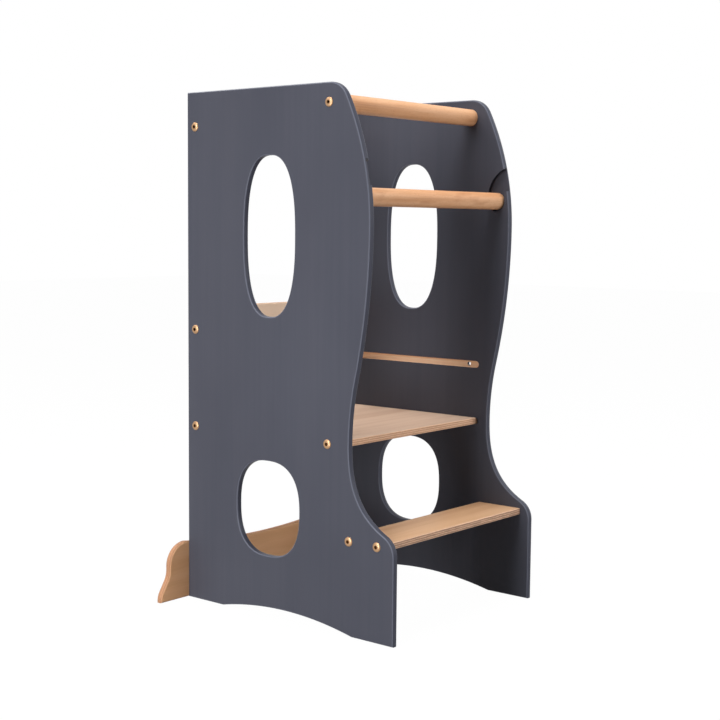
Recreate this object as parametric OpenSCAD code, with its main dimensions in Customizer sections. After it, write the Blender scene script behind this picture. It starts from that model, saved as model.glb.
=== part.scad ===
// Kitchen helper stool: two painted plywood sides carry a standing platform,
// a step, a back board, two round rails and a safety bar that lies in curved
// blind slots. X runs across the stool, Y from the step to the back, Z up.
// The origin is on the floor under the middle of the whole stool.

/* [Side panels] */
// Height of the side panels
panel_h = 900; // [820:5:980]
// Width over the outer faces of the two side panels
stool_w = 406; // [360:2:480]
// Thickness of a side panel
panel_t = 12; // [11:0.5:15]
// Depth of a side panel at the floor
foot_depth = 470.5; // [440:0.5:520]
// Length of each foot, before the arch begins
foot_l = 87; // [60:1:110]
// Rise of the arch between the feet
arch_rise = 16.5; // [8:0.5:30]

/* [Front edge of the panels] */
// Height at which the upright toe starts to round over
toe_h = 144.5; // [135:0.5:155]
// Radius of the toe
toe_r = 36; // [30:1:42]
// Slope of the front edge just behind the toe, in degrees
toe_slope = 27; // [20:1:34]
// Depth of a side panel at its waist
waist_depth = 375.5; // [355:0.5:390]
// Height of the waist
waist_h = 315; // [290:1:340]
// Depth of a side panel at its belly
belly_depth = 416; // [400:0.5:430]
// Height of the belly
belly_h = 670; // [640:1:700]
// Length of the straight top edge
top_depth = 329.5; // [310:0.5:345]
// Radius of the top front corner
corner_r = 40.5; // [30:0.5:50]

/* [Windows in the panels] */
// Width of the upper window
window_w = 116.4; // [90:0.2:130]
// Height of the upper window
window_h = 270.6; // [220:0.2:300]
// Height of the upper window's centre
window_z = 651.6; // [630:0.2:680]
// Distance from the panel's rear edge to the upper window's centre
window_back = 197; // [180:0.5:215]
// Width of the lower window
port_w = 144; // [110:1:160]
// Height of the lower window
port_h = 164; // [130:1:180]
// Height of the lower window's centre
port_z = 188.3; // [175:0.1:200]
// Distance from the panel's rear edge to the lower window's centre
port_back = 195.5; // [180:0.5:210]
// Fullness of both ovals, where 2 is an ellipse
oval_power = 2.5; // [2:0.1:3.5]

/* [Platform and spare place] */
// Thickness of the standing platform
platform_t = 12; // [10:0.5:15]
// Height of the platform's top face
platform_h = 320; // [300:1:335]
// Distance from the panels' waist back to the platform's front edge
platform_setback = 24.5; // [15:0.5:40]
// Depth of the grooves that carry the platform
groove_depth = 6; // [4:0.5:7.5]
// Distance from the platform's groove up to the spare groove
spare_rise = 104.6; // [90:0.2:115]
// Diameter of the spare bolt holes
spare_hole_d = 7.4; // [6.5:0.1:8]
// Wood left over the left panel's spare holes
spare_skin = 1.5; // [1:0.1:3]
// Distance from the platform's front edge to its front bolts
platform_bolt_inset = 21; // [16:0.5:30]

/* [Step] */
// Thickness of the front step
step_t = 12; // [10:0.5:15]
// Height of the step's top face
step_h = 164.5; // [155:0.5:172]
// Depth of the step from front to back
step_depth = 89.5; // [75:0.5:100]
// Distance from the toe back to the step's front edge
step_setback = 19; // [15:0.5:28]
// Distance from the step's edges to its bolts
step_bolt_inset = 15.3; // [12:0.1:22]

/* [Back board] */
// Thickness of the back board
back_t = 12; // [10:0.5:15]
// Height of the board itself
back_board_h = 80; // [65:1:95]
// Height of the board's middle above the floor
back_z = 486; // [478:1:500]
// Distance from the panels' rear edges to the rear bolts
rear_bolt_back = 20; // [17:0.5:26]
// Diameter of the wooden dowels beside the bolts
dowel_d = 8; // [6:0.5:8.5]
// Length of a wooden dowel
dowel_l = 30; // [26:1:40]
// Depth of a dowel's hole in the panel
dowel_seat = 8; // [6:0.5:9]
// Distance from the bolt to each dowel
dowel_offset = 24; // [18:1:28]

/* [Rails and safety bar] */
// Diameter of the two fixed rails
rail_d = 30; // [26:1:34]
// Distance from the top edge down to the front rail's centre
front_rail_drop = 32; // [26:1:40]
// Distance from the top edge down to the rear rail's centre
rear_rail_drop = 60; // [45:1:75]
// Diameter of the safety bar
bar_d = 30; // [26:0.5:31]
// Width of the slots that the safety bar lies in
slot_w = 34; // [32:0.5:38]
// Depth of the slots
slot_depth = 7; // [5:0.5:8]
// Radius of the slots' curved middle line
slot_r = 37.7; // [34:0.1:42]
// Height of the slots' centre above the belly
slot_rise = 54; // [40:1:70]
// Distance of the slots' centre in front of the belly
slot_ahead = 8.8; // [5:0.1:12]
// Angle of the bar at rest below the slots' centre, in degrees
bar_rest_angle = 10.7; // [6:0.1:16]
// Height of the lip in front of the bar, above the slots' centre
lip_rise = 11; // [5:0.5:15]

/* [Stabiliser board] */
// Thickness of the stabiliser board
stabiliser_t = 12; // [10:0.5:16]
// Height of the board at the side panels
stabiliser_h = 102; // [90:1:115]
// Dip of its top edge in the middle
stabiliser_dip = 14.5; // [5:0.5:25]
// Distance that each wing reaches past the side panel
wing_reach = 65.7; // [58:0.1:80]
// Distance that the wing's shoulder reaches past the side panel
shoulder_reach = 44.5; // [41:0.5:50]
// Radius of the shoulder
shoulder_r = 40.5; // [30:0.5:41]
// Radius of the hollow under the shoulder
neck_r = 36; // [28:1:40]
// Height of the hollow's centre
neck_z = 56; // [50:1:60]
// Radius of the wing's tip
tip_r = 30; // [24:1:34]
// Height of the tip's centre
tip_z = 3; // [0:0.5:6]

/* [Fasteners] */
// Diameter of the bolts
bolt_d = 6; // [5:0.5:6.5]
// Length of the bolts under the head
bolt_l = 45; // [38:1:50]
// Diameter of the bolt heads
head_d = 16; // [14:0.5:18]
// Thickness of the head's flat rim
head_rim = 1; // [0.6:0.1:1.5]
// Height of the head's dome over its rim
head_dome = 1.6; // [1:0.1:2]
// Width across the flats of the hexagon socket
socket_w = 4; // [3:0.5:5]
// Depth of the hexagon socket
socket_depth = 1.8; // [1:0.1:2.2]
// Diameter of the barrel nuts
nut_d = 10; // [9:0.5:11]
// Length of the barrel nuts
nut_l = 10; // [8:0.5:10.5]
// Distance from the panel's inner face to the barrel nuts
nut_inset = 24; // [18:1:27]
// Diameter of the threaded inserts in the rails
insert_d = 10; // [9:0.5:12]
// Length of the threaded inserts
insert_l = 15; // [12:1:20]
// Diameter of the stabiliser screws
screw_d = 4.5; // [4:0.5:5]
// Length of the stabiliser screws
screw_l = 40; // [32:1:50]
// Diameter of their countersunk heads
screw_head_d = 8.5; // [8:0.5:9]

/* [Hidden] */
$fn = 64;

// Points on each bend of an outline, round each oval window and round a very flat arc
bend_steps = 18;
oval_steps = 72;
flat_arc_steps = 720;

// Clearances between pieces
bolt_gap = 0.3;
thread_gap = 0.05;
groove_gap = 0.3;
bar_end_gap = 0.4;
bar_seat_gap = 0.3;
bore_end_gap = 2;
// How far a cut runs past the face that it opens
overrun = 1;

// Faces of the panels
outer_x = stool_w / 2;
inner_x = outer_x - panel_t;
total_depth = foot_depth + stabiliser_t;
rear_y = total_depth / 2 - stabiliser_t;

// Shape of the front edge: the handles of the sweep behind the toe as shares
// of its height, and the hollow's share of the sway between waist and belly
instep_share = 0.50;
shin_share = 0.42;
sway_share = 0.31;
// The top corner's radius keeps within this share of the room that the brow
// leaves it between the belly and the straight top edge
corner_room_share = 0.7;
top_corner_r = min(corner_r, (belly_depth - top_depth) * corner_room_share);

// Height of the groove, and how much of its round end the platform uses
groove_h = platform_t + groove_gap;
groove_tip_share = 0.9;
platform_bottom = platform_h - platform_t;
platform_depth = waist_depth - platform_setback;
platform_mid_z = platform_bottom + platform_t / 2;
spare_z = platform_mid_z + spare_rise;

// Front and rear edges of the step
step_front_y = rear_y - foot_depth + step_setback;
step_rear_y = step_front_y + step_depth;
step_mid_z = step_h - step_t / 2;

// Places of the bolts, each as Y and Z on the outer face of a panel
front_rail_at = [rear_y - top_depth, panel_h - front_rail_drop];
rear_rail_at = [rear_y - rear_bolt_back, panel_h - rear_rail_drop];
back_board_at = [rear_y - rear_bolt_back, back_z];
platform_front_y = rear_y - platform_depth;
platform_at = [
    [platform_front_y + platform_bolt_inset, platform_mid_z],
    [rear_y - rear_bolt_back, platform_mid_z]];
step_at = [
    [step_front_y + step_bolt_inset, step_mid_z],
    [step_rear_y - step_bolt_inset, step_mid_z]];
dowel_at = [for (side = [-1, 1]) back_board_at + [0, side * dowel_offset]];

// Centre of the curved slots and the bar's place in them
slot_at = [rear_y - belly_depth - slot_ahead, belly_h + slot_rise];
slot_outer_r = slot_r + slot_w / 2;
slot_inner_r = slot_r - slot_w / 2;
bar_slack = (slot_w - bar_d) / 2 - bar_seat_gap;
slot_end_angle = -bar_rest_angle - bar_slack / slot_r * 180 / PI;

// Heights of the stabiliser screws as shares of the board's height
screw_height_shares = [0.28, 0.72];
screw_head_h = (screw_head_d - screw_d) / 2;
// Thickness of the chamfer on the safety bar's ends
bar_chamfer = 1.5;

// Points on an arc about a centre, both ends included
function arc(centre, r, from, to) = [for (i = [0:bend_steps])
    let (a = from + (to - from) * i / bend_steps) centre + r * [cos(a), sin(a)]];

// The same points without the first, which the curve before it already has
function rest_of(points) = [for (i = [1:len(points) - 1]) points[i]];

// Points on a cubic curve, without its first point
function sweep(p, q, r, s) = [for (i = [1:bend_steps])
    let (t = i / bend_steps, u = 1 - t)
    pow(u, 3) * p + 3 * u * u * t * q + 3 * u * t * t * r + pow(t, 3) * s];

// The toe rounds over from upright to its slope
function toe_points() = arc([rear_y - foot_depth + toe_r, toe_h], toe_r, 180, 90 + toe_slope);

// Hollow sweep from the toe up to the waist
function shin_points() =
    let (toe = toe_points(), start = toe[len(toe) - 1])
    let (end = [rear_y - waist_depth, waist_h], rise = end[1] - start[1])
    let (out = start + rise * instep_share * [cos(toe_slope), sin(toe_slope)])
    sweep(start, out, end - [0, rise * shin_share], end);

// Two arcs that meet in an even sway, from the upright waist to the upright belly
function sway_points() =
    let (reach = belly_depth - waist_depth, rise = belly_h - waist_h)
    let (turn = 2 * atan(reach / rise), both_r = rise / sin(turn))
    let (hollow_r = both_r * sway_share, full_r = both_r - hollow_r)
    let (waist_y = rear_y - waist_depth, belly_y = rear_y - belly_depth)
    concat(rest_of(arc([waist_y - hollow_r, waist_h], hollow_r, 0, turn)),
        rest_of(arc([belly_y + full_r, belly_h], full_r, 180 + turn, 180)));

// One arc from the belly that runs into the rounded top corner
function brow_points() =
    let (r = top_corner_r, corner = [rear_y - top_depth, panel_h - r])
    let (over = belly_depth - top_depth, rise = corner[1] - belly_h)
    let (brow_r = (over * over + rise * rise - r * r) / (2 * (over - r)))
    let (turn = atan2(rise, brow_r - over))
    concat(rest_of(arc([rear_y - belly_depth + brow_r, belly_h], brow_r, 180, 180 - turn)),
        rest_of(arc(corner, r, 180 - turn, 90)));

// Outline of a side panel in Y and Z, from the front foot round to the rear foot
function panel_points() = concat([[rear_y - foot_depth, 0]], toe_points(), shin_points(),
    sway_points(), brow_points(), [[rear_y, panel_h], [rear_y, 0]]);

// Full oval between an ellipse and a rectangle
function oval_points(w, h) = [for (i = [0:oval_steps - 1])
    let (a = 360 * i / oval_steps, c = cos(a), s = sin(a))
    [w / 2 * sign(c) * pow(abs(c), 2 / oval_power), h / 2 * sign(s) * pow(abs(s), 2 / oval_power)]];

// Extrudes a shape drawn in Y and Z along X, from x on
module across(x, length) {
    translate([x, 0, 0]) rotate([90, 0, 90]) linear_extrude(length) children();
}

// Round bar or bore along X at a place in Y and Z
module round_along_x(place, x, length, d, steps = $fn) {
    translate([x, place[0], place[1]]) rotate([0, 90, 0]) cylinder(d = d, h = length, $fn = steps);
}

// A left-hand piece and its mirror image on the right
module both_sides() {
    children();
    mirror([1, 0, 0]) children();
}

// Groove for a platform in Y and Z, with a round front end and an open rear end
function groove_points(bottom_z) =
    let (end_r = groove_h / 2)
    let (end_back = sqrt(end_r * end_r - platform_t * platform_t / 4) * groove_tip_share)
    concat([[rear_y + overrun, bottom_z]],
        arc([platform_front_y + end_back, bottom_z + end_r], end_r, 270, 90),
        [[rear_y + overrun, bottom_z + groove_h]]);

// Curved slot about its centre: the bar's seat, the outer wall up to the front
// edge, then back over the flat lip and down the inner wall
function slot_points() =
    let (seat = slot_r * [cos(slot_end_angle), sin(slot_end_angle)])
    let (mouth_angle = 180 - asin(lip_rise / slot_outer_r), lip_angle = asin(lip_rise / slot_inner_r))
    concat(rest_of(arc(seat, slot_w / 2, slot_end_angle + 180, slot_end_angle + 360)),
        rest_of(arc([0, 0], slot_outer_r, slot_end_angle, mouth_angle)),
        arc([0, 0], slot_inner_r, lip_angle, slot_end_angle));

// Arch between the two feet, one arc that passes through both of their ends
module arch_cut() {
    half = foot_depth / 2 - foot_l;
    r = (half * half + arch_rise * arch_rise) / (2 * arch_rise);
    place = [rear_y - foot_depth / 2, arch_rise - r];
    round_along_x(place, -outer_x - overrun, panel_t + 2 * overrun, 2 * r, flat_arc_steps);
}

// Left panel; skin is the wood left over the outside of its spare bolt holes
module side_panel(skin) {
    difference() {
        across(-outer_x, panel_t) difference() {
            polygon(panel_points());
            translate([rear_y - window_back, window_z]) polygon(oval_points(window_w, window_h));
            translate([rear_y - port_back, port_z]) polygon(oval_points(port_w, port_h));
        }
        arch_cut();
        for (bottom_z = [platform_bottom, platform_bottom + spare_rise])
            across(-inner_x - groove_depth, groove_depth + overrun) polygon(groove_points(bottom_z));
        across(-inner_x - slot_depth, slot_depth + overrun)
            translate(slot_at) polygon(slot_points());
        for (place = concat([front_rail_at, rear_rail_at, back_board_at], platform_at, step_at))
            round_along_x(place, -outer_x - overrun, panel_t + 2 * overrun, bolt_d + 2 * bolt_gap);
        for (place = platform_at)
            round_along_x(place + [0, spare_rise], -outer_x + skin, panel_t, spare_hole_d);
        for (place = dowel_at)
            round_along_x(place, -inner_x - dowel_seat, dowel_seat + overrun, dowel_d + 2 * thread_gap);
        for (share = screw_height_shares) at_stabiliser_screw(share) screw_bore();
    }
}

module left_side_panel() {
    color([0.33, 0.34, 0.38]) side_panel(spare_skin);
}

module right_side_panel() {
    color([0.33, 0.34, 0.38]) mirror([1, 0, 0]) side_panel(-overrun);
}

// Room for a bolt inside a board or a rail, from the panel's inner face on
module bolt_bore(place) {
    round_along_x(place, -inner_x - groove_depth, bolt_l - panel_t + groove_depth + bore_end_gap,
        bolt_d + 2 * bolt_gap);
}

// Upright hole for a barrel nut, from the board's underside on
module nut_hole(place, board_t) {
    depth = board_t / 2 + nut_l / 2;
    translate([-inner_x + nut_inset, place[0], place[1] - board_t / 2 - overrun])
        cylinder(d = nut_d + 2 * thread_gap, h = depth + overrun);
}

// Barrel nut along Z at its place, with the cross bore for the bolt
module barrel_nut(place) {
    difference() {
        translate([-inner_x + nut_inset, place[0], place[1] - nut_l / 2]) cylinder(d = nut_d, h = nut_l);
        round_along_x(place, -inner_x + nut_inset - nut_d, 2 * nut_d, bolt_d + 2 * thread_gap);
    }
}

module standing_platform() {
    length = 2 * (inner_x + groove_depth - groove_gap);
    color([0.80, 0.68, 0.58]) difference() {
        translate([-length / 2, platform_front_y, platform_bottom])
            cube([length, platform_depth, platform_t]);
        both_sides() for (place = platform_at) {
            bolt_bore(place);
            nut_hole(place, platform_t);
        }
    }
}

module front_step() {
    color([0.84, 0.67, 0.50]) difference() {
        translate([-inner_x, step_front_y, step_h - step_t]) cube([2 * inner_x, step_depth, step_t]);
        both_sides() for (place = step_at) {
            bolt_bore(place);
            nut_hole(place, step_t);
        }
    }
}

// Turns a piece that stands on the back board's axis so that it lies front to back
module lay_back() {
    translate([0, back_board_at[0], back_board_at[1]]) rotate([90, 0, 0])
        translate([0, -back_board_at[0], -back_board_at[1]]) children();
}

module back_board() {
    color([0.77, 0.63, 0.54]) difference() {
        translate([-inner_x, back_board_at[0] - back_t / 2, back_z - back_board_h / 2])
            cube([2 * inner_x, back_t, back_board_h]);
        both_sides() {
            bolt_bore(back_board_at);
            lay_back() nut_hole(back_board_at, back_t);
            for (place = dowel_at)
                round_along_x(place, -inner_x - overrun, dowel_l - dowel_seat + bore_end_gap + overrun,
                    dowel_d + 2 * thread_gap);
        }
    }
}

// Half outline of the stabiliser board in X and Z, from the tip up to the shoulder
function wing_points() =
    let (tip_x = outer_x + wing_reach, shoulder_x = outer_x + shoulder_reach)
    let (turn = 33)
    concat([[tip_x, 0]],
        arc([tip_x - tip_r, tip_z], tip_r, 0, turn),
        arc([shoulder_x + neck_r, neck_z], neck_r, 180 + turn, 180),
        arc([shoulder_x - shoulder_r, stabiliser_h - shoulder_r], shoulder_r, 0, 90));

module stabiliser_board() {
    half = outer_x + shoulder_reach - shoulder_r;
    dip_r = (half * half + stabiliser_dip * stabiliser_dip) / (2 * stabiliser_dip);
    wing = wing_points();
    color([0.70, 0.56, 0.43]) difference() {
        translate([0, rear_y + stabiliser_t, 0]) rotate([90, 0, 0]) linear_extrude(stabiliser_t)
            difference() {
                polygon(concat(wing, [for (i = [len(wing) - 1:-1:0]) [-wing[i][0], wing[i][1]]]));
                translate([0, stabiliser_h - stabiliser_dip + dip_r])
                    circle(r = dip_r, $fn = flat_arc_steps);
            }
        both_sides() for (share = screw_height_shares) at_stabiliser_screw(share) screw_bore();
    }
}

// Fixed rail between the panels, with a bore and an insert's seat in each end
module fixed_rail(place) {
    difference() {
        round_along_x(place, -inner_x, 2 * inner_x, rail_d);
        both_sides() {
            bolt_bore(place);
            round_along_x(place, -inner_x - overrun, insert_l + overrun, insert_d + 2 * thread_gap);
        }
    }
}

module front_top_rail() {
    color([0.83, 0.62, 0.42]) fixed_rail(front_rail_at);
}

module rear_top_rail() {
    color([0.83, 0.62, 0.42]) fixed_rail(rear_rail_at);
}

module safety_bar() {
    half = inner_x + slot_depth - bar_end_gap;
    bar_at = slot_at + slot_r * [cos(bar_rest_angle), -sin(bar_rest_angle)];
    color([0.85, 0.64, 0.43]) translate([0, bar_at[0], bar_at[1]]) rotate([0, 90, 0])
        rotate_extrude() polygon([[0, -half], [bar_d / 2 - bar_chamfer, -half],
            [bar_d / 2, -half + bar_chamfer], [bar_d / 2, half - bar_chamfer],
            [bar_d / 2 - bar_chamfer, half], [0, half]]);
}

// Domed furniture bolt through the left panel, its head on the outer face
module bolt(place) {
    head_r = head_d / 2;
    dome_r = (head_r * head_r + head_dome * head_dome) / (2 * head_dome);
    head_h = head_rim + head_dome;
    translate([-outer_x, place[0], place[1]]) rotate([0, -90, 0]) difference() {
        union() {
            translate([0, 0, -bolt_l]) cylinder(d = bolt_d, h = bolt_l);
            intersection() {
                cylinder(d = head_d, h = head_h);
                translate([0, 0, head_h - dome_r]) sphere(r = dome_r);
            }
        }
        translate([0, 0, head_h - socket_depth])
            cylinder(d = socket_w / cos(30), h = socket_depth + overrun, $fn = 6);
    }
}

// Threaded insert in the left end of a rail
module rail_insert(place) {
    difference() {
        round_along_x(place, -inner_x, insert_l, insert_d);
        round_along_x(place, -inner_x - overrun, insert_l + 2 * overrun, bolt_d + 2 * thread_gap);
    }
}

module front_rail_bolts() {
    color([0.75, 0.55, 0.35]) both_sides() bolt(front_rail_at);
}

module rear_rail_bolts() {
    color([0.75, 0.55, 0.35]) both_sides() bolt(rear_rail_at);
}

module back_board_bolts() {
    color([0.75, 0.55, 0.35]) both_sides() bolt(back_board_at);
}

module platform_bolts() {
    color([0.75, 0.55, 0.35]) both_sides() for (place = platform_at) bolt(place);
}

module step_bolts() {
    color([0.75, 0.55, 0.35]) both_sides() for (place = step_at) bolt(place);
}

module front_rail_inserts() {
    color("silver") both_sides() rail_insert(front_rail_at);
}

module rear_rail_inserts() {
    color("silver") both_sides() rail_insert(rear_rail_at);
}

module back_board_nuts() {
    color("silver") both_sides() lay_back() barrel_nut(back_board_at);
}

module platform_nuts() {
    color("silver") both_sides() for (place = platform_at) barrel_nut(place);
}

module step_nuts() {
    color("silver") both_sides() for (place = step_at) barrel_nut(place);
}

module back_board_dowels() {
    color([0.86, 0.72, 0.55]) both_sides() for (place = dowel_at)
        round_along_x(place, -inner_x - dowel_seat, dowel_l, dowel_d);
}

// Places a screw at the stabiliser's rear face, its tip towards the front
module at_stabiliser_screw(share) {
    translate([-outer_x + panel_t / 2, rear_y + stabiliser_t, stabiliser_h * share])
        rotate([90, 0, 0]) children();
}

// Hole for a screw, with a countersink for its head
module screw_bore() {
    bore_d = screw_d + 2 * thread_gap;
    sink_d = screw_head_d + 2 * thread_gap;
    translate([0, 0, -overrun]) cylinder(d = bore_d, h = screw_l + bore_end_gap + overrun);
    cylinder(d1 = sink_d, d2 = bore_d, h = screw_head_h);
    translate([0, 0, -overrun]) cylinder(d = sink_d, h = overrun);
}

// Countersunk screw with a cross-shaped recess
module screw() {
    recess_w = screw_d / 4;
    recess_depth = screw_head_h / 2;
    difference() {
        union() {
            cylinder(d = screw_d, h = screw_l);
            cylinder(d1 = screw_head_d, d2 = screw_d, h = screw_head_h);
        }
        for (turn = [0, 90]) rotate([0, 0, turn]) translate([-screw_d / 2, -recess_w / 2, -overrun])
            cube([screw_d, recess_w, recess_depth + overrun]);
    }
}

module stabiliser_screws() {
    color("silver") both_sides() for (share = screw_height_shares) at_stabiliser_screw(share) screw();
}

left_side_panel();
right_side_panel();
standing_platform();
front_step();
back_board();
stabiliser_board();
front_top_rail();
rear_top_rail();
safety_bar();
front_rail_bolts();
rear_rail_bolts();
back_board_bolts();
platform_bolts();
step_bolts();
front_rail_inserts();
rear_rail_inserts();
back_board_nuts();
platform_nuts();
step_nuts();
back_board_dowels();
stabiliser_screws();
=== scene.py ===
"""Looks of the kitchen helper stool: painted sides, bare plywood boards, beech bars and brass bolts."""
import math

import bmesh
import bpy
from mathutils import Matrix, Vector
from mathutils.geometry import tessellate_polygon

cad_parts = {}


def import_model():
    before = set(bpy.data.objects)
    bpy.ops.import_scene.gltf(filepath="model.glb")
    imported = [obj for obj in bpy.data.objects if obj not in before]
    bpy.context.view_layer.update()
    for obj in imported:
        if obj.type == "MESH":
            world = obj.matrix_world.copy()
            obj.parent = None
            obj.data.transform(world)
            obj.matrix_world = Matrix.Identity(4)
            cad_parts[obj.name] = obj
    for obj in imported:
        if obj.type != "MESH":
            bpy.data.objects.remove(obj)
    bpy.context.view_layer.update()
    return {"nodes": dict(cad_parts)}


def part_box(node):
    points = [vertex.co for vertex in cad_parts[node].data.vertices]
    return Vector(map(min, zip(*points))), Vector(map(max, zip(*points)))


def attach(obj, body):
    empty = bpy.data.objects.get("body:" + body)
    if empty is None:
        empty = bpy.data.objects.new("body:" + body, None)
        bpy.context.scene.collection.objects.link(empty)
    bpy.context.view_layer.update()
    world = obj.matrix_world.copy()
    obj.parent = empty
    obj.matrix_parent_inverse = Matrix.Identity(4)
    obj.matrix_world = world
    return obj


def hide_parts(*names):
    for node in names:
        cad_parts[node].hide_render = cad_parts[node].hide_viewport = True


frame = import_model()

MM = 0.001

# Camera, solved from the parallel edges of the stool in the photograph
LENS_MM = 69.28
SENSOR_MM = 36.0
CAMERA_AT = Vector((-1.9016, -1.57335, 0.6697))
CAMERA_HEADING = math.radians(-50.417)
CAMERA_DROP = math.radians(5.505)
CAMERA_ROLL = math.radians(0.506)

# Sizes that the construction model also has, in millimetres
TOE_H, TOE_R, TOE_SLOPE = 144.5, 36.0, 27.0
WAIST_DEPTH, WAIST_H = 375.5, 315.0
BELLY_DEPTH, BELLY_H = 416.0, 670.0
TOP_DEPTH, CORNER_R = 329.5, 40.5
INSTEP_SHARE, SHIN_SHARE, SWAY_SHARE = 0.50, 0.42, 0.31
FOOT_L, ARCH_RISE = 87.0, 16.5
WINDOW = {"w": 116.4, "h": 270.6, "z": 651.6, "back": 197.0}
PORT = {"w": 144.0, "h": 164.0, "z": 188.3, "back": 195.5}
OVAL_POWER = 2.5
GROOVE_DEPTH, GROOVE_GAP, GROOVE_TIP_SHARE = 6.0, 0.3, 0.9
SPARE_RISE, SPARE_HOLE_D, SPARE_SKIN = 104.6, 7.4, 1.5
SLOT_W, SLOT_DEPTH, SLOT_R, SLOT_RISE, SLOT_AHEAD = 34.0, 7.0, 37.7, 54.0, 8.8
SLOT_END_ANGLE, LIP_RISE = -13.3, 11.0
BOLT_HOLE_D, BOLT_L, BOLT_R, HEAD_D, HEAD_H = 6.6, 45.0, 3.0, 16.0, 2.6
SOCKET_W, SOCKET_DEPTH = 4.0, 1.8
SCREW_HEAD_D, SCREW_HEAD_H, NUT_D, FITTING_GAP = 8.5, 2.0, 10.0, 0.05
STABILISER = {"h": 102.0, "dip": 14.5, "wing": 65.7, "shoulder": 44.5, "shoulder_r": 40.5,
              "neck_r": 36.0, "neck_z": 56.0, "tip_r": 30.0, "tip_z": 3.0, "turn": 33.0}

# Rounding of the edges
PANEL_EDGE_R = 3.0
BOARD_EDGE_R = 2.0
STABILISER_EDGE_R = 3.0
RAIL_EASE, SAFETY_BAR_EASE, EASE_SHARE = 0.4, 1.5, 0.3

# A bolt's tapered tip, the bevel and edge of its domed head, and the dish that the socket sits in
TIP_R, TIP_L = 2.4, 1.0
HEAD_BEVEL, HEAD_EDGE_H, DOME_POWER = 0.3, 0.4, 0.55
DISH_R, DISH_BEVEL, DISH_DEPTH = 3.1, 0.3, 0.6
DISH_FLOOR_R, DISH_FLOOR_DEPTH = 1.2, 0.7

# Fineness of the curves, as steps
BEND_STEPS = 40
OVAL_STEPS = 144
EDGE_STEPS = 5
HOLE_STEPS = 32
BAR_STEPS = 96
BOLT_STEPS = 48
DOME_STEPS = 9

# Corners sharper than this angle in degrees stay sharp when a piece is shaded smooth
BOARD_CREASE, BAR_CREASE, BOLT_CREASE = 32, 50, 40

# How far a cutter runs past what it cuts, and how near counts as on a face, a wall or a point
OVERRUN = 1.0
ON_FACE, ON_WALL, SAME_POINT = 0.05, 0.5, 1e-6


# Where the construction stands

def box_mm(node):
    """Lowest and highest corner of a construction node, in millimetres."""
    low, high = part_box(node)
    return low / MM, high / MM


PANEL_LOW, PANEL_HIGH = box_mm("left_side_panel")
OUTER_X, INNER_X = -PANEL_LOW.x, -PANEL_HIGH.x
PANEL_H = PANEL_HIGH.z
TOE_Y, REAR_Y = PANEL_LOW.y, PANEL_HIGH.y


# Outlines

def arc(centre, r, start, end, steps=BEND_STEPS):
    """Points on an arc, angles in degrees, both ends included."""
    angles = [math.radians(start + (end - start) * i / steps) for i in range(steps + 1)]
    return [(centre[0] + r * math.cos(a), centre[1] + r * math.sin(a)) for a in angles]


def sweep(p, q, r, s):
    """Points on a cubic curve, both ends included."""
    points = []
    for i in range(BEND_STEPS + 1):
        t = i / BEND_STEPS
        u = 1 - t
        weights = (u ** 3, 3 * u * u * t, 3 * u * t * t, t ** 3)
        points.append(tuple(sum(w * c[k] for w, c in zip(weights, (p, q, r, s))) for k in (0, 1)))
    return points


def chain(*runs):
    """One closed loop from several runs of points, without repeated ends."""
    loop = []
    for run in runs:
        for point in run:
            if not loop or math.dist(loop[-1], point) > SAME_POINT:
                loop.append(point)
    return loop


def oval(opening):
    """Oval window between an ellipse and a rectangle, wound against the panel's outline."""
    centre = (REAR_Y - opening["back"], opening["z"])
    loop = []
    for i in range(OVAL_STEPS):
        a = -2 * math.pi * i / OVAL_STEPS
        c, s = math.cos(a), math.sin(a)
        loop.append((centre[0] + opening["w"] / 2 * math.copysign(abs(c) ** (2 / OVAL_POWER), c),
                     centre[1] + opening["h"] / 2 * math.copysign(abs(s) ** (2 / OVAL_POWER), s)))
    return loop


def arch_points():
    """Flat arc between the two feet, from the rear foot to the front one."""
    middle = (TOE_Y + REAR_Y) / 2
    half = (REAR_Y - TOE_Y) / 2 - FOOT_L
    r = (half * half + ARCH_RISE ** 2) / (2 * ARCH_RISE)
    reach = math.degrees(math.asin(half / r))
    return arc((middle, ARCH_RISE - r), r, 90 - reach, 90 + reach)


def instep():
    """Round toe and the long curve from it up to the waist, the narrowest place."""
    toe = arc((TOE_Y + TOE_R, TOE_H), TOE_R, 180, 90 + TOE_SLOPE)
    start, waist = toe[-1], (REAR_Y - WAIST_DEPTH, WAIST_H)
    rise = waist[1] - start[1]
    slope = math.radians(TOE_SLOPE)
    out = (start[0] + rise * INSTEP_SHARE * math.cos(slope),
           start[1] + rise * INSTEP_SHARE * math.sin(slope))
    return toe + sweep(start, out, (waist[0], waist[1] - rise * SHIN_SHARE), waist)


def belly():
    """Two arcs that meet without a corner, from the waist forward to the belly."""
    reach, rise = BELLY_DEPTH - WAIST_DEPTH, BELLY_H - WAIST_H
    turn = 2 * math.atan(reach / rise)
    both_r = rise / math.sin(turn)
    hollow_r = both_r * SWAY_SHARE
    full_r = both_r - hollow_r
    turn = math.degrees(turn)
    hollow = arc((REAR_Y - WAIST_DEPTH - hollow_r, WAIST_H), hollow_r, 0, turn)
    return hollow + arc((REAR_Y - BELLY_DEPTH + full_r, BELLY_H), full_r, 180 + turn, 180)


def brow():
    """Two arcs that meet without a corner, from the belly back over the front top corner."""
    corner = (REAR_Y - TOP_DEPTH, PANEL_H - CORNER_R)
    over, rise = BELLY_DEPTH - TOP_DEPTH, corner[1] - BELLY_H
    brow_r = (over * over + rise * rise - CORNER_R ** 2) / (2 * (over - CORNER_R))
    turn = math.degrees(math.atan2(rise, brow_r - over))
    front = arc((REAR_Y - BELLY_DEPTH + brow_r, BELLY_H), brow_r, 180, 180 - turn)
    return front + arc(corner, CORNER_R, 180 - turn, 90)


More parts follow.
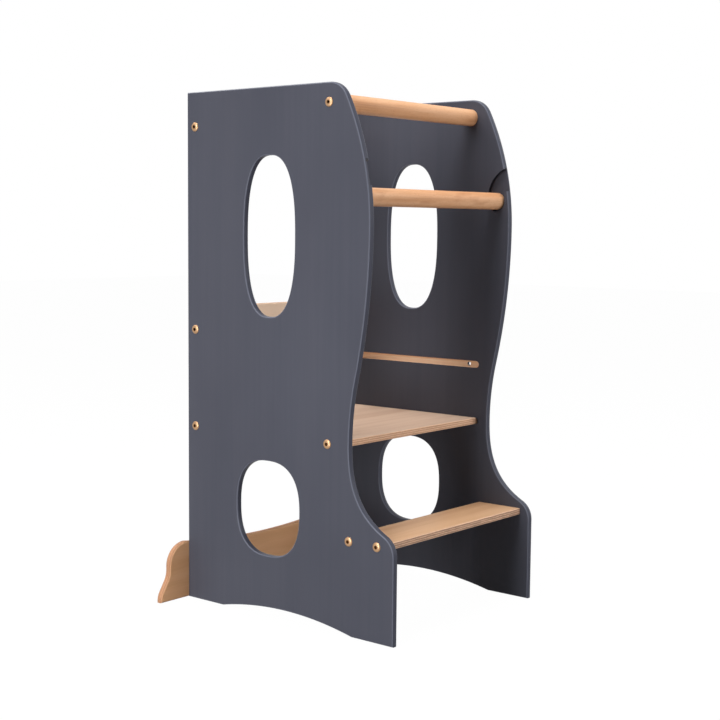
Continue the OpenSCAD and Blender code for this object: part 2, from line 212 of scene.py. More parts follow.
def panel_outline():
    """Outline of a side panel in Y and Z, anticlockwise from the rear foot."""
    rear_edge = [(REAR_Y, PANEL_H), (REAR_Y, 0)]
    return chain([(TOE_Y, 0)], instep(), belly(), brow(), rear_edge, arch_points())[::-1]


def groove_outline(bottom_z, platform_front_y, platform_t):
    """Groove for the platform's edge, with a round front end and an open rear end."""
    groove_h = platform_t + GROOVE_GAP
    end_r = groove_h / 2
    end_back = math.sqrt(end_r ** 2 - platform_t ** 2 / 4) * GROOVE_TIP_SHARE
    end = arc((platform_front_y + end_back, bottom_z + end_r), end_r, 270, 90)
    return [(REAR_Y + OVERRUN, bottom_z + groove_h), *end[::-1], (REAR_Y + OVERRUN, bottom_z)]


def slot_arcs():
    """Centre of the slot's curve, centre of its seat, and the radii of its outer and inner wall."""
    at = (REAR_Y - BELLY_DEPTH - SLOT_AHEAD, BELLY_H + SLOT_RISE)
    seat_angle = math.radians(SLOT_END_ANGLE)
    seat = (at[0] + SLOT_R * math.cos(seat_angle), at[1] + SLOT_R * math.sin(seat_angle))
    return at, seat, SLOT_R + SLOT_W / 2, SLOT_R - SLOT_W / 2


def on_slot_wall(point):
    """Whether a point in Y and Z lies on one of the slot's curved walls."""
    at, seat, outer_r, inner_r = slot_arcs()
    from_centre, from_seat = math.dist(point, at), math.dist(point, seat)
    gaps = (from_centre - outer_r, from_centre - inner_r, from_seat - SLOT_W / 2)
    return min(abs(gap) for gap in gaps) < ON_WALL


def slot_outline():
    """Curved slot for the safety bar's end: its seat, the outer wall, the flat lip and the inner wall."""
    at, seat, outer_r, inner_r = slot_arcs()
    mouth = 180 - math.degrees(math.asin(LIP_RISE / outer_r))
    lip = math.degrees(math.asin(LIP_RISE / inner_r))
    return chain(arc(seat, SLOT_W / 2, SLOT_END_ANGLE + 180, SLOT_END_ANGLE + 360),
                 arc(at, outer_r, SLOT_END_ANGLE, mouth),
                 arc(at, inner_r, lip, SLOT_END_ANGLE)[:-1])


def circle_outline(centre, d):
    """Points round a circle, the first one not repeated."""
    last = HOLE_STEPS - 1
    return arc(centre, d / 2, 0, 360 * last / HOLE_STEPS, last)


def rectangle(low, high):
    """The four corners between the lowest and the highest one, anticlockwise."""
    return [(low[0], low[1]), (high[0], low[1]), (high[0], high[1]), (low[0], high[1])]


def stabiliser_outline():
    """Outline of the stabiliser board in X and Z, anticlockwise."""
    s = STABILISER
    tip_x, shoulder_x = OUTER_X + s["wing"], OUTER_X + s["shoulder"]
    wing = chain([(tip_x, 0)],
                 arc((tip_x - s["tip_r"], s["tip_z"]), s["tip_r"], 0, s["turn"]),
                 arc((shoulder_x + s["neck_r"], s["neck_z"]), s["neck_r"], 180 + s["turn"], 180),
                 arc((shoulder_x - s["shoulder_r"], s["h"] - s["shoulder_r"]), s["shoulder_r"], 0, 90))
    half = shoulder_x - s["shoulder_r"]
    r = (half * half + s["dip"] ** 2) / (2 * s["dip"])
    reach = math.degrees(math.asin(half / r))
    dip = arc((0, s["h"] - s["dip"] + r), r, 270 + reach, 270 - reach)
    return chain(wing, dip, [(-x, z) for x, z in wing[::-1]])


# Mesh building

def inset(loop, distance):
    """The loop moved into the material, which lies on its left; a corner moves twice as far at most."""
    moved = []
    for i, point in enumerate(loop):
        before, after = Vector(loop[i - 1]), Vector(loop[(i + 1) % len(loop)])
        here = Vector(point)
        into = [Vector((-d.y, d.x)).normalized() for d in (here - before, after - here)]
        middle = (into[0] + into[1]).normalized()
        moved.append(tuple(here + middle * distance / max(middle.dot(into[0]), 1 / 2)))
    return moved


def placed(point, across, axis):
    """A drawn point and its distance across the board as a place in metres."""
    place = list(point)
    place.insert("xyz".index(axis), across)
    return Vector(place) * MM


def new_object(name, data):
    """An object in the scene that shows a mesh, a lamp or a camera."""
    made = bpy.data.objects.new(name, data)
    bpy.context.scene.collection.objects.link(made)
    return made


def from_bmesh(name, bm):
    """An object with the mesh that was built."""
    mesh = bpy.data.meshes.new(name)
    bm.to_mesh(mesh)
    bm.free()
    return new_object(name, mesh)


def band(bm, ring, upper):
    """Faces between two rings of as many points."""
    for i in range(len(ring)):
        j = (i + 1) % len(ring)
        bm.faces.new((ring[i], ring[j], upper[j], upper[i]))


def board(name, outline, holes, low, high, axis, edge_r):
    """A flat board from low to high along an axis, the edges of its outline and holes rounded over."""
    bm = bmesh.new()
    levels = []
    for step in range(EDGE_STEPS + 1):
        turn = math.pi / 2 * step / EDGE_STEPS
        levels.append((edge_r * (1 - math.sin(turn)), edge_r * (1 - math.cos(turn))))
    rows = [(shift, low + depth) for shift, depth in levels]
    rows += [(shift, high - depth) for shift, depth in reversed(levels)]
    loops = [outline, *holes]
    rings = [[[bm.verts.new(placed(p, across, axis)) for p in inset(loop, shift)] for loop in loops]
             for shift, across in rows]
    for below, above in zip(rings, rings[1:]):
        for ring, upper in zip(below, above):
            band(bm, ring, upper)
    flat = [[Vector(p).to_3d() for p in inset(loop, edge_r)] for loop in loops]
    for end in (rings[0], rings[-1]):
        corners = [v for ring in end for v in ring]
        for triangle in tessellate_polygon(flat):
            bm.faces.new([corners[i] for i in triangle])
    bmesh.ops.recalc_face_normals(bm, faces=bm.faces)
    return from_bmesh(name, bm)


def prism(name, outline, low, high, axis):
    """A plain closed prism, used to cut with."""
    bm = bmesh.new()
    ends = [[bm.verts.new(placed(p, across, axis)) for p in outline] for across in (low, high)]
    band(bm, *ends)
    for end in ends:
        bm.faces.new(end)
    bmesh.ops.recalc_face_normals(bm, faces=bm.faces)
    return from_bmesh(name, bm)


def turned(name, profile, place, steps):
    """A piece turned about an axis along X at a place in Y and Z; profile holds (x, radius) pairs."""
    bm = bmesh.new()
    rings = []
    for x, r in profile:
        ring = []
        for i in range(steps):
            a = 2 * math.pi * i / steps
            at = (place[0] + r * math.cos(a), place[1] + r * math.sin(a))
            ring.append(bm.verts.new(placed(at, x, "x")))
        rings.append(ring)
    for ring, upper in zip(rings, rings[1:]):
        band(bm, ring, upper)
    bm.faces.new(rings[0])
    bm.faces.new(rings[-1])
    bmesh.ops.recalc_face_normals(bm, faces=bm.faces)
    return from_bmesh(name, bm)


def discard(piece):
    """Removes an object and its mesh."""
    mesh = piece.data
    bpy.data.objects.remove(piece)
    bpy.data.meshes.remove(mesh)


def mirror(piece):
    """Makes a piece that was drawn for the left side fit the right one."""
    piece.data.transform(Matrix.Scale(-1, 4, Vector((1, 0, 0))))
    piece.data.flip_normals()


def apply_modifiers(piece):
    """Writes the result of the piece's modifiers into its mesh."""
    graph = bpy.context.evaluated_depsgraph_get()
    mesh = bpy.data.meshes.new_from_object(piece.evaluated_get(graph))
    old = piece.data
    piece.modifiers.clear()
    piece.data = mesh
    bpy.data.meshes.remove(old)


def cut(piece, cutters):
    """Cuts each cutter out of the piece and removes it."""
    for cutter in cutters:
        step = piece.modifiers.new("cut", "BOOLEAN")
        step.operation = "DIFFERENCE"
        step.solver = "EXACT"
        step.object = cutter
        apply_modifiers(piece)
        discard(cutter)


def shade(piece, angle=BOARD_CREASE):
    """Smooth shading that keeps flat faces flat and sharp edges sharp."""
    mesh = piece.data
    mesh.shade_smooth()
    mesh.set_sharp_from_angle(angle=math.radians(angle))
    step = piece.modifiers.new("even_normals", "WEIGHTED_NORMAL")
    step.keep_sharp = True
    step.weight = 100


def coat(piece, *materials):
    """Adds materials to a piece, to be picked by their place in the call."""
    for material in materials:
        piece.data.materials.append(material)


def finish_piece(piece, body, slot, *nodes):
    """Gives a piece its body and hides the nodes that it stands for; slot is not used."""
    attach(piece, body)
    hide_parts(*nodes)
    return piece


# Materials

PLIES, PLY_WAVER_MM = 7, 0.12
SURFACE_INPUTS = {"colour": "Base Color", "roughness": "Roughness", "metallic": "Metallic",
                  "specular": "Specular IOR Level"}


class Shader:
    """Short calls for building one material from nodes."""

    def __init__(self, name):
        self.material = bpy.data.materials.new(name)
        self.material.use_nodes = True
        self.tree = self.material.node_tree
        self.surface = self.tree.nodes["Principled BSDF"]

    def node(self, kind, **settings):
        made = self.tree.nodes.new(kind)
        for key, value in settings.items():
            setattr(made, key, value)
        return made

    def link(self, source, target):
        self.tree.links.new(source, target)

    def fill(self, socket, value):
        """Feeds a socket from another socket, a number or a colour."""
        if isinstance(value, bpy.types.NodeSocket):
            self.link(value, socket)
        elif isinstance(value, (int, float)):
            socket.default_value = value
        else:
            socket.default_value = (*value, 1.0)

    def give(self, **values):
        """Fills inputs of the surface: roughness=0.5 stands for its input Roughness."""
        for name, value in values.items():
            self.fill(self.surface.inputs[SURFACE_INPUTS[name]], value)

    def noise(self, scale, detail=4.0, roughness=0.5, distortion=0.0):
        """Noise from 0 to 1 with its own scale along each axis, in features a metre."""
        coords = self.node("ShaderNodeTexCoord")
        mapping = self.node("ShaderNodeMapping")
        mapping.inputs["Scale"].default_value = scale
        self.link(coords.outputs["Object"], mapping.inputs["Vector"])
        made = self.node("ShaderNodeTexNoise")
        made.inputs["Scale"].default_value = 1.0
        made.inputs["Detail"].default_value = detail
        made.inputs["Roughness"].default_value = roughness
        made.inputs["Distortion"].default_value = distortion
        self.link(mapping.outputs["Vector"], made.inputs["Vector"])
        return made.outputs["Fac"]

    def ramp(self, value, *stops):
        """Smooth change through (position, colour) stops."""
        made = self.node("ShaderNodeValToRGB")
        ramp = made.color_ramp
        while len(ramp.elements) < len(stops):
            ramp.elements.new(0.5)
        for element, (position, colour) in zip(ramp.elements, stops):
            element.position = position
            element.color = (*colour, 1.0)
        self.link(value, made.inputs["Fac"])
        return made.outputs["Color"]

    def spread(self, value, low, high, to_low=0.0, to_high=1.0, smooth=False):
        """The value, moved from the range low to high into the range to_low to to_high."""
        made = self.node("ShaderNodeMapRange")
        made.interpolation_type = "SMOOTHSTEP" if smooth else "LINEAR"
        limits = {"From Min": low, "From Max": high, "To Min": to_low, "To Max": to_high}
        for name, number in limits.items():
            made.inputs[name].default_value = number
        self.link(value, made.inputs["Value"])
        return made.outputs["Result"]

    def mix(self, share, first, second):
        """Mixes two colours, each a colour or a socket; share may be a number or a socket."""
        made = self.node("ShaderNodeMix", data_type="RGBA")
        for number, value in zip((0, 6, 7), (share, first, second)):
            self.fill(made.inputs[number], value)
        return made.outputs[2]

    def tint(self, base, value, low, high, share, colour):
        """The base with up to a share of a colour, mixed in as the value rises from low to high."""
        return self.mix(self.spread(value, low, high, 0.0, share), base, colour)

    def math(self, operation, first, second=None):
        made = self.node("ShaderNodeMath", operation=operation)
        self.fill(made.inputs[0], first)
        if second is not None:
            self.fill(made.inputs[1], second)
        return made.outputs[0]

    def axis_part(self, output, axis):
        """One component of the object coordinates or of the object's normals."""
        coords = self.node("ShaderNodeTexCoord")
        split = self.node("ShaderNodeSeparateXYZ")
        self.link(coords.outputs[output], split.inputs[0])
        return split.outputs["XYZ".index(axis.upper())]

    def bump(self, heights):
        """Bump from (height socket, strength, depth in metres) layers, the coarsest first."""
        normal = None
        for height, strength, depth in heights:
            made = self.node("ShaderNodeBump")
            made.inputs["Strength"].default_value = strength
            made.inputs["Distance"].default_value = depth
            self.link(height, made.inputs["Height"])
            if normal is not None:
                self.link(normal, made.inputs["Normal"])
            normal = made.outputs["Normal"]
        self.link(normal, self.surface.inputs["Normal"])


def srgb(red, green, blue):
    """A colour written as it shows on a screen, 0 to 255, in linear light."""
    def linear(value):
        value /= 255
        return value / 12.92 if value <= 0.04045 else ((value + 0.055) / 1.055) ** 2.4
    return tuple(linear(v) for v in (red, green, blue))


def stretched(axis, along, across):
    """Scales of a noise, one along an axis and the other across it."""
    return tuple(along if a == axis else across for a in "xyz")


def paint_material(name, shade_by=1.0):
    """Satin grey paint: soft clouds, the wood's grain just felt through it, and a fine roller texture."""
    s = Shader(name)

    def tone(*colour):
        return tuple(c * shade_by for c in srgb(*colour))

    clouds = s.noise((5, 4, 3), detail=3)
    grain = s.noise((40, 90, 2.2), detail=5, roughness=0.6)
    wide_grain = s.noise((3, 14, 1.2), detail=3)
    roller = s.noise((700, 700, 700), detail=2)
    colour = s.ramp(clouds, (0.3, tone(72, 73, 83)), (0.7, tone(79, 80, 90)))
    colour = s.tint(colour, grain, 0.35, 0.72, 0.45, tone(67, 70, 81))
    colour = s.tint(colour, wide_grain, 0.4, 0.7, 0.3, tone(80, 80, 89))
    # The edges and the walls of openings are darker as painted shade, and their rounding shows a light
    # line that is a painted highlight
    facing = s.math("ABSOLUTE", s.axis_part("Normal", "x"))
    colour = s.mix(s.spread(facing, 0.1, 0.6, 0.8, 0.0, smooth=True), colour, tone(62, 64, 77))
    # Painted highlight along the rounded edges
    rounding = s.math("MULTIPLY", s.spread(facing, 0.4, 0.65), s.spread(facing, 0.97, 0.85))
    colour = s.mix(s.math("MULTIPLY", rounding, 0.45), colour, tone(122, 126, 142))
    s.give(colour=colour, roughness=s.spread(clouds, 0.2, 0.8, 0.30, 0.42), specular=0.12)
    s.bump([(grain, 0.18, 0.0006), (roller, 0.12, 0.0002)])
    return s.material


def veneer(s, along, tone):
    """Colour and height of a bare birch face veneer, its grain running along an axis."""
    figure = s.noise(stretched(along, 1.6, 26), detail=5, roughness=0.55, distortion=0.6)
    fibre = s.noise(stretched(along, 28, 900), detail=3, roughness=0.7)
    clouds = s.noise((7, 7, 7), detail=2)
    light, middle, dark = tone
    colour = s.ramp(figure, (0.30, dark), (0.50, middle), (0.72, light))
    colour = s.tint(colour, fibre, 0.45, 0.8, 0.35, dark)
    colour = s.tint(colour, clouds, 0.35, 0.7, 0.30, middle)
    return colour, fibre


def ply_pattern(s, across, low, thickness, glue_share):
    """Masks of a plywood's dark plies and of its glue lines, which waver and break up."""
    waver_m = PLY_WAVER_MM * MM
    waver = s.spread(s.noise((35, 35, 35), detail=2), 0.3, 0.7, -waver_m, waver_m)
    depth = s.math("ADD", s.math("SUBTRACT", s.axis_part("Object", across), low), waver)
    count = s.math("MULTIPLY", depth, PLIES / thickness)
    half_of_odd = s.math("FRACT", s.math("MULTIPLY", s.math("FLOOR", count), 0.5))
    dark_ply = s.math("GREATER_THAN", half_of_odd, 0.25)
    within = s.math("FRACT", count)
    to_joint = s.math("MINIMUM", within, s.math("SUBTRACT", 1.0, within))
    glue = s.math("LESS_THAN", to_joint, glue_share)
    broken = s.spread(s.noise(stretched(across, 300, 45), detail=2), 0.4, 0.56, 0.15, 1.0)
    return dark_ply, s.math("MULTIPLY", glue, broken)


def ply_edge(s, across, low, thickness, tone, glue_share):
    """Colour and height of a sawn plywood edge: light and dark plies with specks of end grain."""
    dark_ply, glue = ply_pattern(s, across, low, thickness, glue_share)
    specks = s.noise((1500, 1500, 1500), detail=2, roughness=0.8)
    streaks = s.noise(stretched(across, 2500, 90), detail=2)
    light, middle, dark = tone
    pale = s.tint(light, streaks, 0.4, 0.7, 0.5, middle)
    brown = s.tint(middle, specks, 0.42, 0.66, 0.7, dark)
    colour = s.mix(s.math("MULTIPLY", dark_ply, 0.8), pale, brown)
    colour = s.mix(s.math("MULTIPLY", glue, 0.85), colour, dark)
    height = s.math("SUBTRACT", specks, s.math("MULTIPLY", dark_ply, 0.4))
    return colour, height


def ply_material(name, node, along, across, tone, edge_tone, glue_share=0.11):
    """Bare birch plywood: veneer on its faces, plies on its edges."""
    s = Shader(name)
    low, high = (corner["xyz".index(across)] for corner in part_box(node))
    face_colour, fibre = veneer(s, along, tone)
    edge_colour, edge_height = ply_edge(s, across, low, high - low, edge_tone, glue_share)
    facing = s.math("ABSOLUTE", s.axis_part("Normal", across))
    on_face = s.spread(facing, 0.80, 0.96, smooth=True)
    s.give(colour=s.mix(on_face, edge_colour, face_colour),
           roughness=s.spread(on_face, 0.0, 1.0, 0.72, 0.5))
    s.bump([(s.mix(on_face, edge_height, fibre), 0.35, 0.0003)])
    return s.material


def beech_material(name, tone):
    """Turned beech bar along X: calm streaks, a few stains and short dark flecks."""
    s = Shader(name)
    streaks = s.noise((2.0, 70, 70), detail=5, roughness=0.6, distortion=0.3)
    fibre = s.noise((25, 1100, 1100), detail=2, roughness=0.6)
    clouds = s.noise((9, 25, 25), detail=2)
    stains = s.noise((16, 60, 60), detail=2)
    flecks = s.noise((160, 2300, 2300), detail=1)
    light, middle, dark = tone
    colour = s.ramp(streaks, (0.28, dark), (0.46, middle), (0.74, light))
    colour = s.tint(colour, fibre, 0.45, 0.75, 0.4, dark)
    colour = s.tint(colour, clouds, 0.4, 0.75, 0.35, light)
    colour = s.tint(colour, stains, 0.60, 0.74, 0.4, srgb(168, 106, 62))
    colour = s.tint(colour, flecks, 0.60, 0.72, 0.7, dark)
    s.give(colour=colour, roughness=s.spread(fibre, 0.3, 0.7, 0.40, 0.52), specular=0.25)
    s.bump([(fibre, 0.2, 0.0002), (flecks, 0.15, 0.0001)])
    return s.material


def raw_wood_material(name):
    """Freshly routed plywood inside the spare groove."""
    s = Shader(name)
    streaks = s.noise((90, 3, 320), detail=4, roughness=0.6)
    fibre = s.noise((300, 60, 1600), detail=2)
    colour = s.ramp(streaks, (0.3, srgb(244, 204, 168)), (0.7, srgb(252, 228, 200)))
    colour = s.tint(colour, fibre, 0.45, 0.75, 0.4, srgb(226, 180, 140))
    s.give(colour=colour, roughness=0.75)
    s.bump([(fibre, 0.3, 0.0003)])
    return s.material


def metal_material(name, colour, roughness, turning):
    """Satin metal with faint turning marks, so many a metre, and a little tarnish."""
    s = Shader(name)
    marks = s.noise((turning, turning, turning), detail=3)
    tarnish = s.noise((90, 90, 90), detail=3)
    dull = tuple(c * 0.72 for c in colour)
    s.give(colour=s.tint(colour, tarnish, 0.35, 0.7, 0.5, dull),
           roughness=s.spread(marks, 0.3, 0.7, roughness * 0.8, roughness * 1.25), metallic=1.0)
    s.bump([(marks, 0.1, 0.00005)])
    return s.material


PAINT = paint_material("panel_paint")
# A darker copy of the paint, as painted shade on the walls of the safety bar's slot
SLOT_PAINTED_SHADE = paint_material("slot_wall_painted_shade", 0.3)
RAW = raw_wood_material("raw_groove")
BRASS = metal_material("bolt_brass", srgb(182, 145, 110), 0.38, 900)
# Dark metal for the dish and socket in the bolt heads, as painted shade
RECESS_SHADE = metal_material("bolt_recess_shade", srgb(84, 54, 30), 0.5, 900)
ZINC = metal_material("zinc_steel", srgb(200, 202, 206), 0.35, 700)
PLATFORM_PLY = ply_material("platform_ply", "standing_platform", "x", "z",
                            (srgb(222, 194, 170), srgb(212, 180, 156), srgb(196, 160, 134)),
                            (srgb(226, 188, 156), srgb(204, 154, 120), srgb(136, 90, 62)))
STEP_PLY = ply_material("step_ply", "front_step", "x", "z",
                        (srgb(224, 182, 144), srgb(214, 170, 130), srgb(198, 150, 110)),
                        (srgb(222, 184, 154), srgb(186, 138, 108), srgb(64, 42, 34)), glue_share=0.17)
BACK_PLY = ply_material("back_board_ply", "back_board", "x", "y",
                        (srgb(238, 212, 188), srgb(232, 204, 178), srgb(218, 184, 156)),
                        (srgb(226, 190, 160), srgb(202, 156, 126), srgb(120, 84, 66)))
STABILISER_PLY = ply_material("stabiliser_ply", "stabiliser_board", "x", "y",
                              (srgb(240, 192, 146), srgb(234, 180, 132), srgb(216, 158, 110)),
                              (srgb(200, 152, 116), srgb(176, 124, 88), srgb(126, 82, 56)))
BEECH = beech_material("beech", (srgb(227, 181, 142), srgb(216, 162, 119), srgb(188, 130, 86)))


# Side panels

def bolt_places(node):
    """Places in Y and Z of a node's bolts, from its box."""
    low, high = box_mm(node)
    ys = {round(low.y + HEAD_D / 2, 3), round(high.y - HEAD_D / 2, 3)}
    return [(y, (low.z + high.z) / 2) for y in sorted(ys)]


BOLT_NODES = ["front_rail_bolts", "rear_rail_bolts", "back_board_bolts", "platform_bolts", "step_bolts"]
LEFT, RIGHT = -1, 1


def panel_cutters(side):
    """Cutters for a panel's grooves, slot and holes; the spare holes go through on the right only."""
    low, high = box_mm("standing_platform")
    inside, outside = -INNER_X + OVERRUN, -OUTER_X - OVERRUN
    cutters = []
    for bottom_z in (low.z, low.z + SPARE_RISE):
        outline = groove_outline(bottom_z, low.y, high.z - low.z)
        cutters.append(prism("groove", outline, -INNER_X - GROOVE_DEPTH, inside, "x"))
    cutters.append(prism("slot", slot_outline(), -INNER_X - SLOT_DEPTH, inside, "x"))
    for place in [place for node in BOLT_NODES for place in bolt_places(node)]:
        cutters.append(prism("hole", circle_outline(place, BOLT_HOLE_D), outside, inside, "x"))
    spare_from = -OUTER_X + SPARE_SKIN if side == LEFT else outside
    for y, z in bolt_places("platform_bolts"):
        outline = circle_outline((y, z + SPARE_RISE), SPARE_HOLE_D)
        cutters.append(prism("spare", outline, spare_from, inside, "x"))
    return cutters


def coat_panel(panel):
    """Paint, with bare wood in the spare groove and a darker copy of the paint, as painted shade, on the
    walls of the bar's slot.
    """
    coat(panel, PAINT, RAW, SLOT_PAINTED_SHADE)
    low, high = box_mm("standing_platform")
    spare_low, spare_high = low.z + SPARE_RISE - OVERRUN, high.z + SPARE_RISE + OVERRUN
    spare_front = low.y - (high.z - low.z)
    for face in panel.data.polygons:
        centre = face.center / MM
        depth = -INNER_X - centre.x
        routed = ON_FACE < depth < GROOVE_DEPTH + ON_FACE and centre.y < REAR_Y - ON_FACE
        upright = abs(face.normal.x) < 0.5
        if routed and spare_low < centre.z < spare_high and centre.y > spare_front:
            face.material_index = 1
        # The walls of the bar's slot get the darker paint as painted shade
        elif upright and depth < SLOT_DEPTH and on_slot_wall((centre.y, centre.z)):
            face.material_index = 2
        else:
            face.material_index = 0


def side_panel(side):
    """A painted panel with its windows, grooves, slot and bolt holes."""
    name = "left" if side == LEFT else "right"
    panel = board(f"{name}_panel_painted", panel_outline(), [oval(WINDOW), oval(PORT)],
                  -OUTER_X, -INNER_X, "x", PANEL_EDGE_R)
    cut(panel, panel_cutters(side))
    coat_panel(panel)
    if side == RIGHT:
        mirror(panel)
    shade(panel)
    return finish_piece(panel, "stool", "panel_paint", f"{name}_side_panel")


for side in (LEFT, RIGHT):
    side_panel(side)


# Boards

def row_ends(low, high, d):
    """Centres of the first and the last round fitting between two bounds, or of the only one."""
    return [(low + high) / 2] if high - low < 2 * d else [low + d / 2, high - d / 2]


def bores(node, d, low, high, axis):
    """Cutters for the bores of a node's round fittings, between two levels along an axis."""
    first, second = ("xyz".index(other) for other in "xyz" if other != axis)
    box_low, box_high = box_mm(node)
    places = [(u, v) for u in row_ends(box_low[first], box_high[first], d)
              for v in row_ends(box_low[second], box_high[second], d)]
    bore_d = d + 2 * FITTING_GAP
    return [prism("bore", circle_outline(place, bore_d), low, high, axis) for place in places]


def finish_board(piece, cutters, material, node):
    """Gives a bare board its bores and its material."""
    cut(piece, cutters)
    shade(piece)
    coat(piece, material)
    return finish_piece(piece, "stool", "bare_ply", node)


def flat_board(name, node, nuts, material):
    """A level board in the place of a node, with bores from below for its barrel nuts."""
    low, high = box_mm(node)
    piece = board(name, rectangle(low.xy, high.xy), [], low.z, high.z, "z", BOARD_EDGE_R)
    cutters = bores(nuts, NUT_D, low.z - OVERRUN, box_mm(nuts)[1].z, "z")
    return finish_board(piece, cutters, material, node)


def back_board():
    """The upright board behind the child's legs, with bores from behind for its barrel nuts."""
    low, high = box_mm("back_board")
    piece = board("back_board_rounded", rectangle(low.xz, high.xz), [], low.y, high.y, "y", BOARD_EDGE_R)
    nuts_from = box_mm("back_board_nuts")[0].y
    cutters = bores("back_board_nuts", NUT_D, nuts_from, high.y + OVERRUN, "y")
    return finish_board(piece, cutters, BACK_PLY, "back_board")


def stabiliser_board():
    """The shaped board across the rear feet, with bores from behind for its screw heads."""
    low, high = box_mm("stabiliser_board")
    piece = board("stabiliser_rounded", stabiliser_outline(), [], low.y, high.y, "y", STABILISER_EDGE_R)
    cutters = bores("stabiliser_screws", SCREW_HEAD_D, high.y - SCREW_HEAD_H, high.y + OVERRUN, "y")
    return finish_board(piece, cutters, STABILISER_PLY, "stabiliser_board")


flat_board("platform_board", "standing_platform", "platform_nuts", PLATFORM_PLY)
flat_board("step_board", "front_step", "step_nuts", STEP_PLY)
back_board()
stabiliser_board()


# Rails and safety bar

def bar(name, node, body, ease):
    """A turned bar in the place of a node, its ends eased over a length."""
    low, high = box_mm(node)
    r = (high.z - low.z) / 2
    place = ((low.y + high.y) / 2, (low.z + high.z) / 2)
    part = ease * EASE_SHARE
    profile = [(low.x, r - ease), (low.x + part, r - part), (low.x + ease, r),
               (high.x - ease, r), (high.x - part, r - part), (high.x, r - ease)]
    piece = turned(name, profile, place, BAR_STEPS)
    shade(piece, BAR_CREASE)
    coat(piece, BEECH)
    return finish_piece(piece, body, "beech", node)


bar("front_rail_turned", "front_top_rail", "stool", RAIL_EASE)
bar("rear_rail_turned", "rear_top_rail", "stool", RAIL_EASE)
bar("safety_bar_turned", "safety_bar", "safety_bar", SAFETY_BAR_EASE)


# Bolts

def bolt_profile():
    """Points of a left bolt from its tip to the dish in its head, as (x, radius) pairs."""
    under, top = -OUTER_X, -OUTER_X - HEAD_H
    tip, head_r = under + BOLT_L, HEAD_D / 2
    shank = [(tip, TIP_R), (tip - TIP_L, BOLT_R), (under, BOLT_R)]
    rim = [(under, head_r - HEAD_BEVEL), (under - HEAD_BEVEL, head_r)]
    angles = [math.radians(90 * step / DOME_STEPS) for step in range(1, DOME_STEPS)]
    dome = [(under - HEAD_H * math.sin(a), head_r * math.cos(a) ** DOME_POWER) for a in angles]
    dome = [point for point in dome if point[0] < under - HEAD_EDGE_H]
    dish = [(top, DISH_R), (top + DISH_DEPTH, DISH_R - DISH_BEVEL),
            (top + DISH_FLOOR_DEPTH, DISH_FLOOR_R)]
    return shank + rim + dome + dish


def bolt(place, side):
    """One domed bolt with a hexagon socket; its head's underside lies on the panel's outer face."""
    piece = turned("bolt", bolt_profile(), place, BOLT_STEPS)
    top = -OUTER_X - HEAD_H
    hexagon = arc(place, SOCKET_W / 2 / math.cos(math.pi / 6), 0, 300, 5)
    cut(piece, [prism("socket", hexagon, top + SOCKET_DEPTH, top - OVERRUN, "x")])
    coat(piece, BRASS, RECESS_SHADE)
    # The dish and socket in the head get the dark metal as painted shade
    for face in piece.data.polygons:
        centre = face.center / MM
        in_head = centre.x < -OUTER_X - ON_FACE
        in_dish = math.dist((centre.y, centre.z), place) < DISH_R
        face.material_index = 1 if in_head and in_dish else 0
    if side == RIGHT:
        mirror(piece)
    return piece


def joined(name, pieces):
    """Several meshes in one object."""
    bm = bmesh.new()
    for piece in pieces:
        bm.from_mesh(piece.data)
        discard(piece)
    return from_bmesh(name, bm)


def bolt_row(node):
    """All bolts of a node, on both sides, as one piece."""
    pieces = [bolt(place, side) for place in bolt_places(node) for side in (LEFT, RIGHT)]
    row = joined(f"{node}_domed", pieces)
    coat(row, BRASS, RECESS_SHADE)
    shade(row, BOLT_CREASE)
    return finish_piece(row, "stool", "bolt_brass", node)


for node in BOLT_NODES:
    bolt_row(node)


# Hidden fittings keep their own solids

METAL_FITTINGS = ["front_rail_inserts", "rear_rail_inserts", "back_board_nuts", "platform_nuts",
                  "step_nuts", "stabiliser_screws"]

for node in (*METAL_FITTINGS, "back_board_dowels"):
    mesh = frame["nodes"][node].data
    mesh.materials.clear()
    mesh.materials.append(ZINC if node in METAL_FITTINGS else BEECH)


# Floor, light and camera

CAMERA_SIGHT_M = 50
WORLD_LEVEL = 0.02
WHITE = (1, 1, 1, 1)
FLOOR_REACH_M, FLOOR_GREY, FLOOR_SHINE, FLOOR_GLOW = 12.0, 0.24, 1.06, 0.93

# Name, place and height aimed at in metres, width in metres and power in watts of each lamp
LAMPS = [
    ("left", (-3.0, 0.15, 1.8), 0.5, 1.3, 58),
    ("left_low", (-2.0, -0.1, 0.1), 0.15, 0.7, 25),
    ("key_high", (-1.6, 2.2, 3.0), 0.6, 1.3, 17),
    ("top", (-0.2, -0.2, 3.0), 0.5, 1.2, 55),
    ("back", (0.3, 2.5, 3.0), 0.5, 1.3, 32),
    ("front", (0.4, -3.2, 1.3), 0.5, 1.6, 38),
    ("front_right", (1.8, -2.8, 1.5), 0.5, 1.6, 30),
    ("right", (2.8, -0.4, 1.5), 0.5, 1.3, 10),
]


def camera():
    """The photograph's camera, from its heading, its drop below level and its roll."""
    data = bpy.data.cameras.new("camera")
    data.lens = LENS_MM
    data.sensor_width = SENSOR_MM
    data.clip_end = CAMERA_SIGHT_M
    level = math.cos(CAMERA_DROP)
    ahead = Vector((-math.sin(CAMERA_HEADING) * level, math.cos(CAMERA_HEADING) * level,
                    -math.sin(CAMERA_DROP)))
    right = ahead.cross(Vector((0, 0, 1))).normalized()
    up = right.cross(ahead)
    cos_roll, sin_roll = math.cos(CAMERA_ROLL), math.sin(CAMERA_ROLL)
    axes = Matrix((right * cos_roll + up * sin_roll, up * cos_roll - right * sin_roll, -ahead))
    made = new_object("camera", data)
    made.matrix_world = Matrix.Translation(CAMERA_AT) @ axes.transposed().to_4x4()
    bpy.context.scene.camera = made


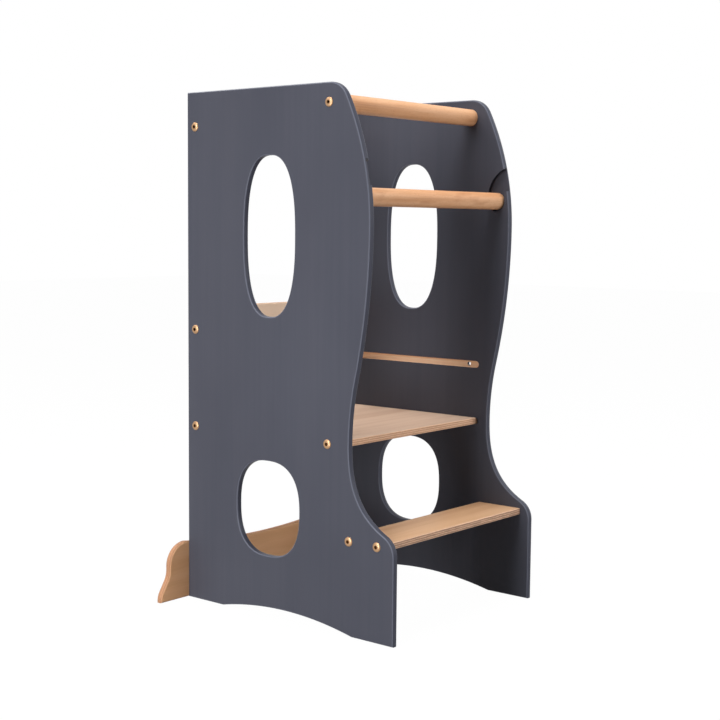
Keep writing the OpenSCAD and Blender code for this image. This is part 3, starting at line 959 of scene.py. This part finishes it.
def background_share(tree):
    """1 for the rays that show the background: seen, mirrored or through glass."""
    path = tree.nodes.new("ShaderNodeLightPath")
    total = path.outputs["Is Camera Ray"]
    for name in ("Is Glossy Ray", "Is Transmission Ray"):
        either = tree.nodes.new("ShaderNodeMath")
        either.operation = "MAXIMUM"
        tree.links.new(total, either.inputs[0])
        tree.links.new(path.outputs[name], either.inputs[1])
        total = either.outputs[0]
    return total


def world(level):
    """Even grey light from all round, and a white background."""
    made = bpy.data.worlds.new("studio")
    made.use_nodes = True
    tree = made.node_tree
    light, white = tree.nodes["Background"], tree.nodes.new("ShaderNodeBackground")
    for background, strength in ((light, level), (white, 1.0)):
        background.inputs["Color"].default_value = WHITE
        background.inputs["Strength"].default_value = strength
    mix = tree.nodes.new("ShaderNodeMixShader")
    tree.links.new(background_share(tree), mix.inputs[0])
    tree.links.new(light.outputs[0], mix.inputs[1])
    tree.links.new(white.outputs[0], mix.inputs[2])
    tree.links.new(mix.outputs[0], tree.nodes["World Output"].inputs[0])
    bpy.context.scene.world = made


def floor_material(glow):
    """Pale floor with a share of its own light, so that it runs into the white background."""
    s = Shader("floor")
    s.give(colour=(FLOOR_GREY, FLOOR_GREY, FLOOR_GREY), roughness=0.9, specular=0.1)
    shine = s.node("ShaderNodeEmission")
    shine.inputs["Strength"].default_value = FLOOR_SHINE
    mix = s.node("ShaderNodeMixShader")
    s.link(s.math("MULTIPLY", background_share(s.tree), glow), mix.inputs[0])
    s.link(s.surface.outputs[0], mix.inputs[1])
    s.link(shine.outputs[0], mix.inputs[2])
    s.link(mix.outputs[0], s.tree.nodes["Material Output"].inputs["Surface"])
    return s.material


def floor():
    """Wide level floor that keeps the stool's shadow."""
    corners = rectangle((-FLOOR_REACH_M, -FLOOR_REACH_M), (FLOOR_REACH_M, FLOOR_REACH_M))
    mesh = bpy.data.meshes.new("floor")
    mesh.from_pydata([(x, y, 0) for x, y in corners], [], [(0, 1, 2, 3)])
    made = new_object("floor", mesh)
    coat(made, floor_material(FLOOR_GLOW))


def lamp(name, place, aim_z, width, power):
    """A square soft light that looks at a point above the origin."""
    data = bpy.data.lights.new(name, "AREA")
    data.shape = "SQUARE"
    data.size = width
    data.energy = power
    made = new_object(name, data)
    made.location = place
    made.rotation_mode = "QUATERNION"
    made.rotation_quaternion = (Vector((0, 0, aim_z)) - Vector(place)).to_track_quat("-Z", "Y")


camera()
world(WORLD_LEVEL)
floor()
for row in LAMPS:
    lamp(*row)
bpy.context.scene.view_settings.view_transform = "Standard"
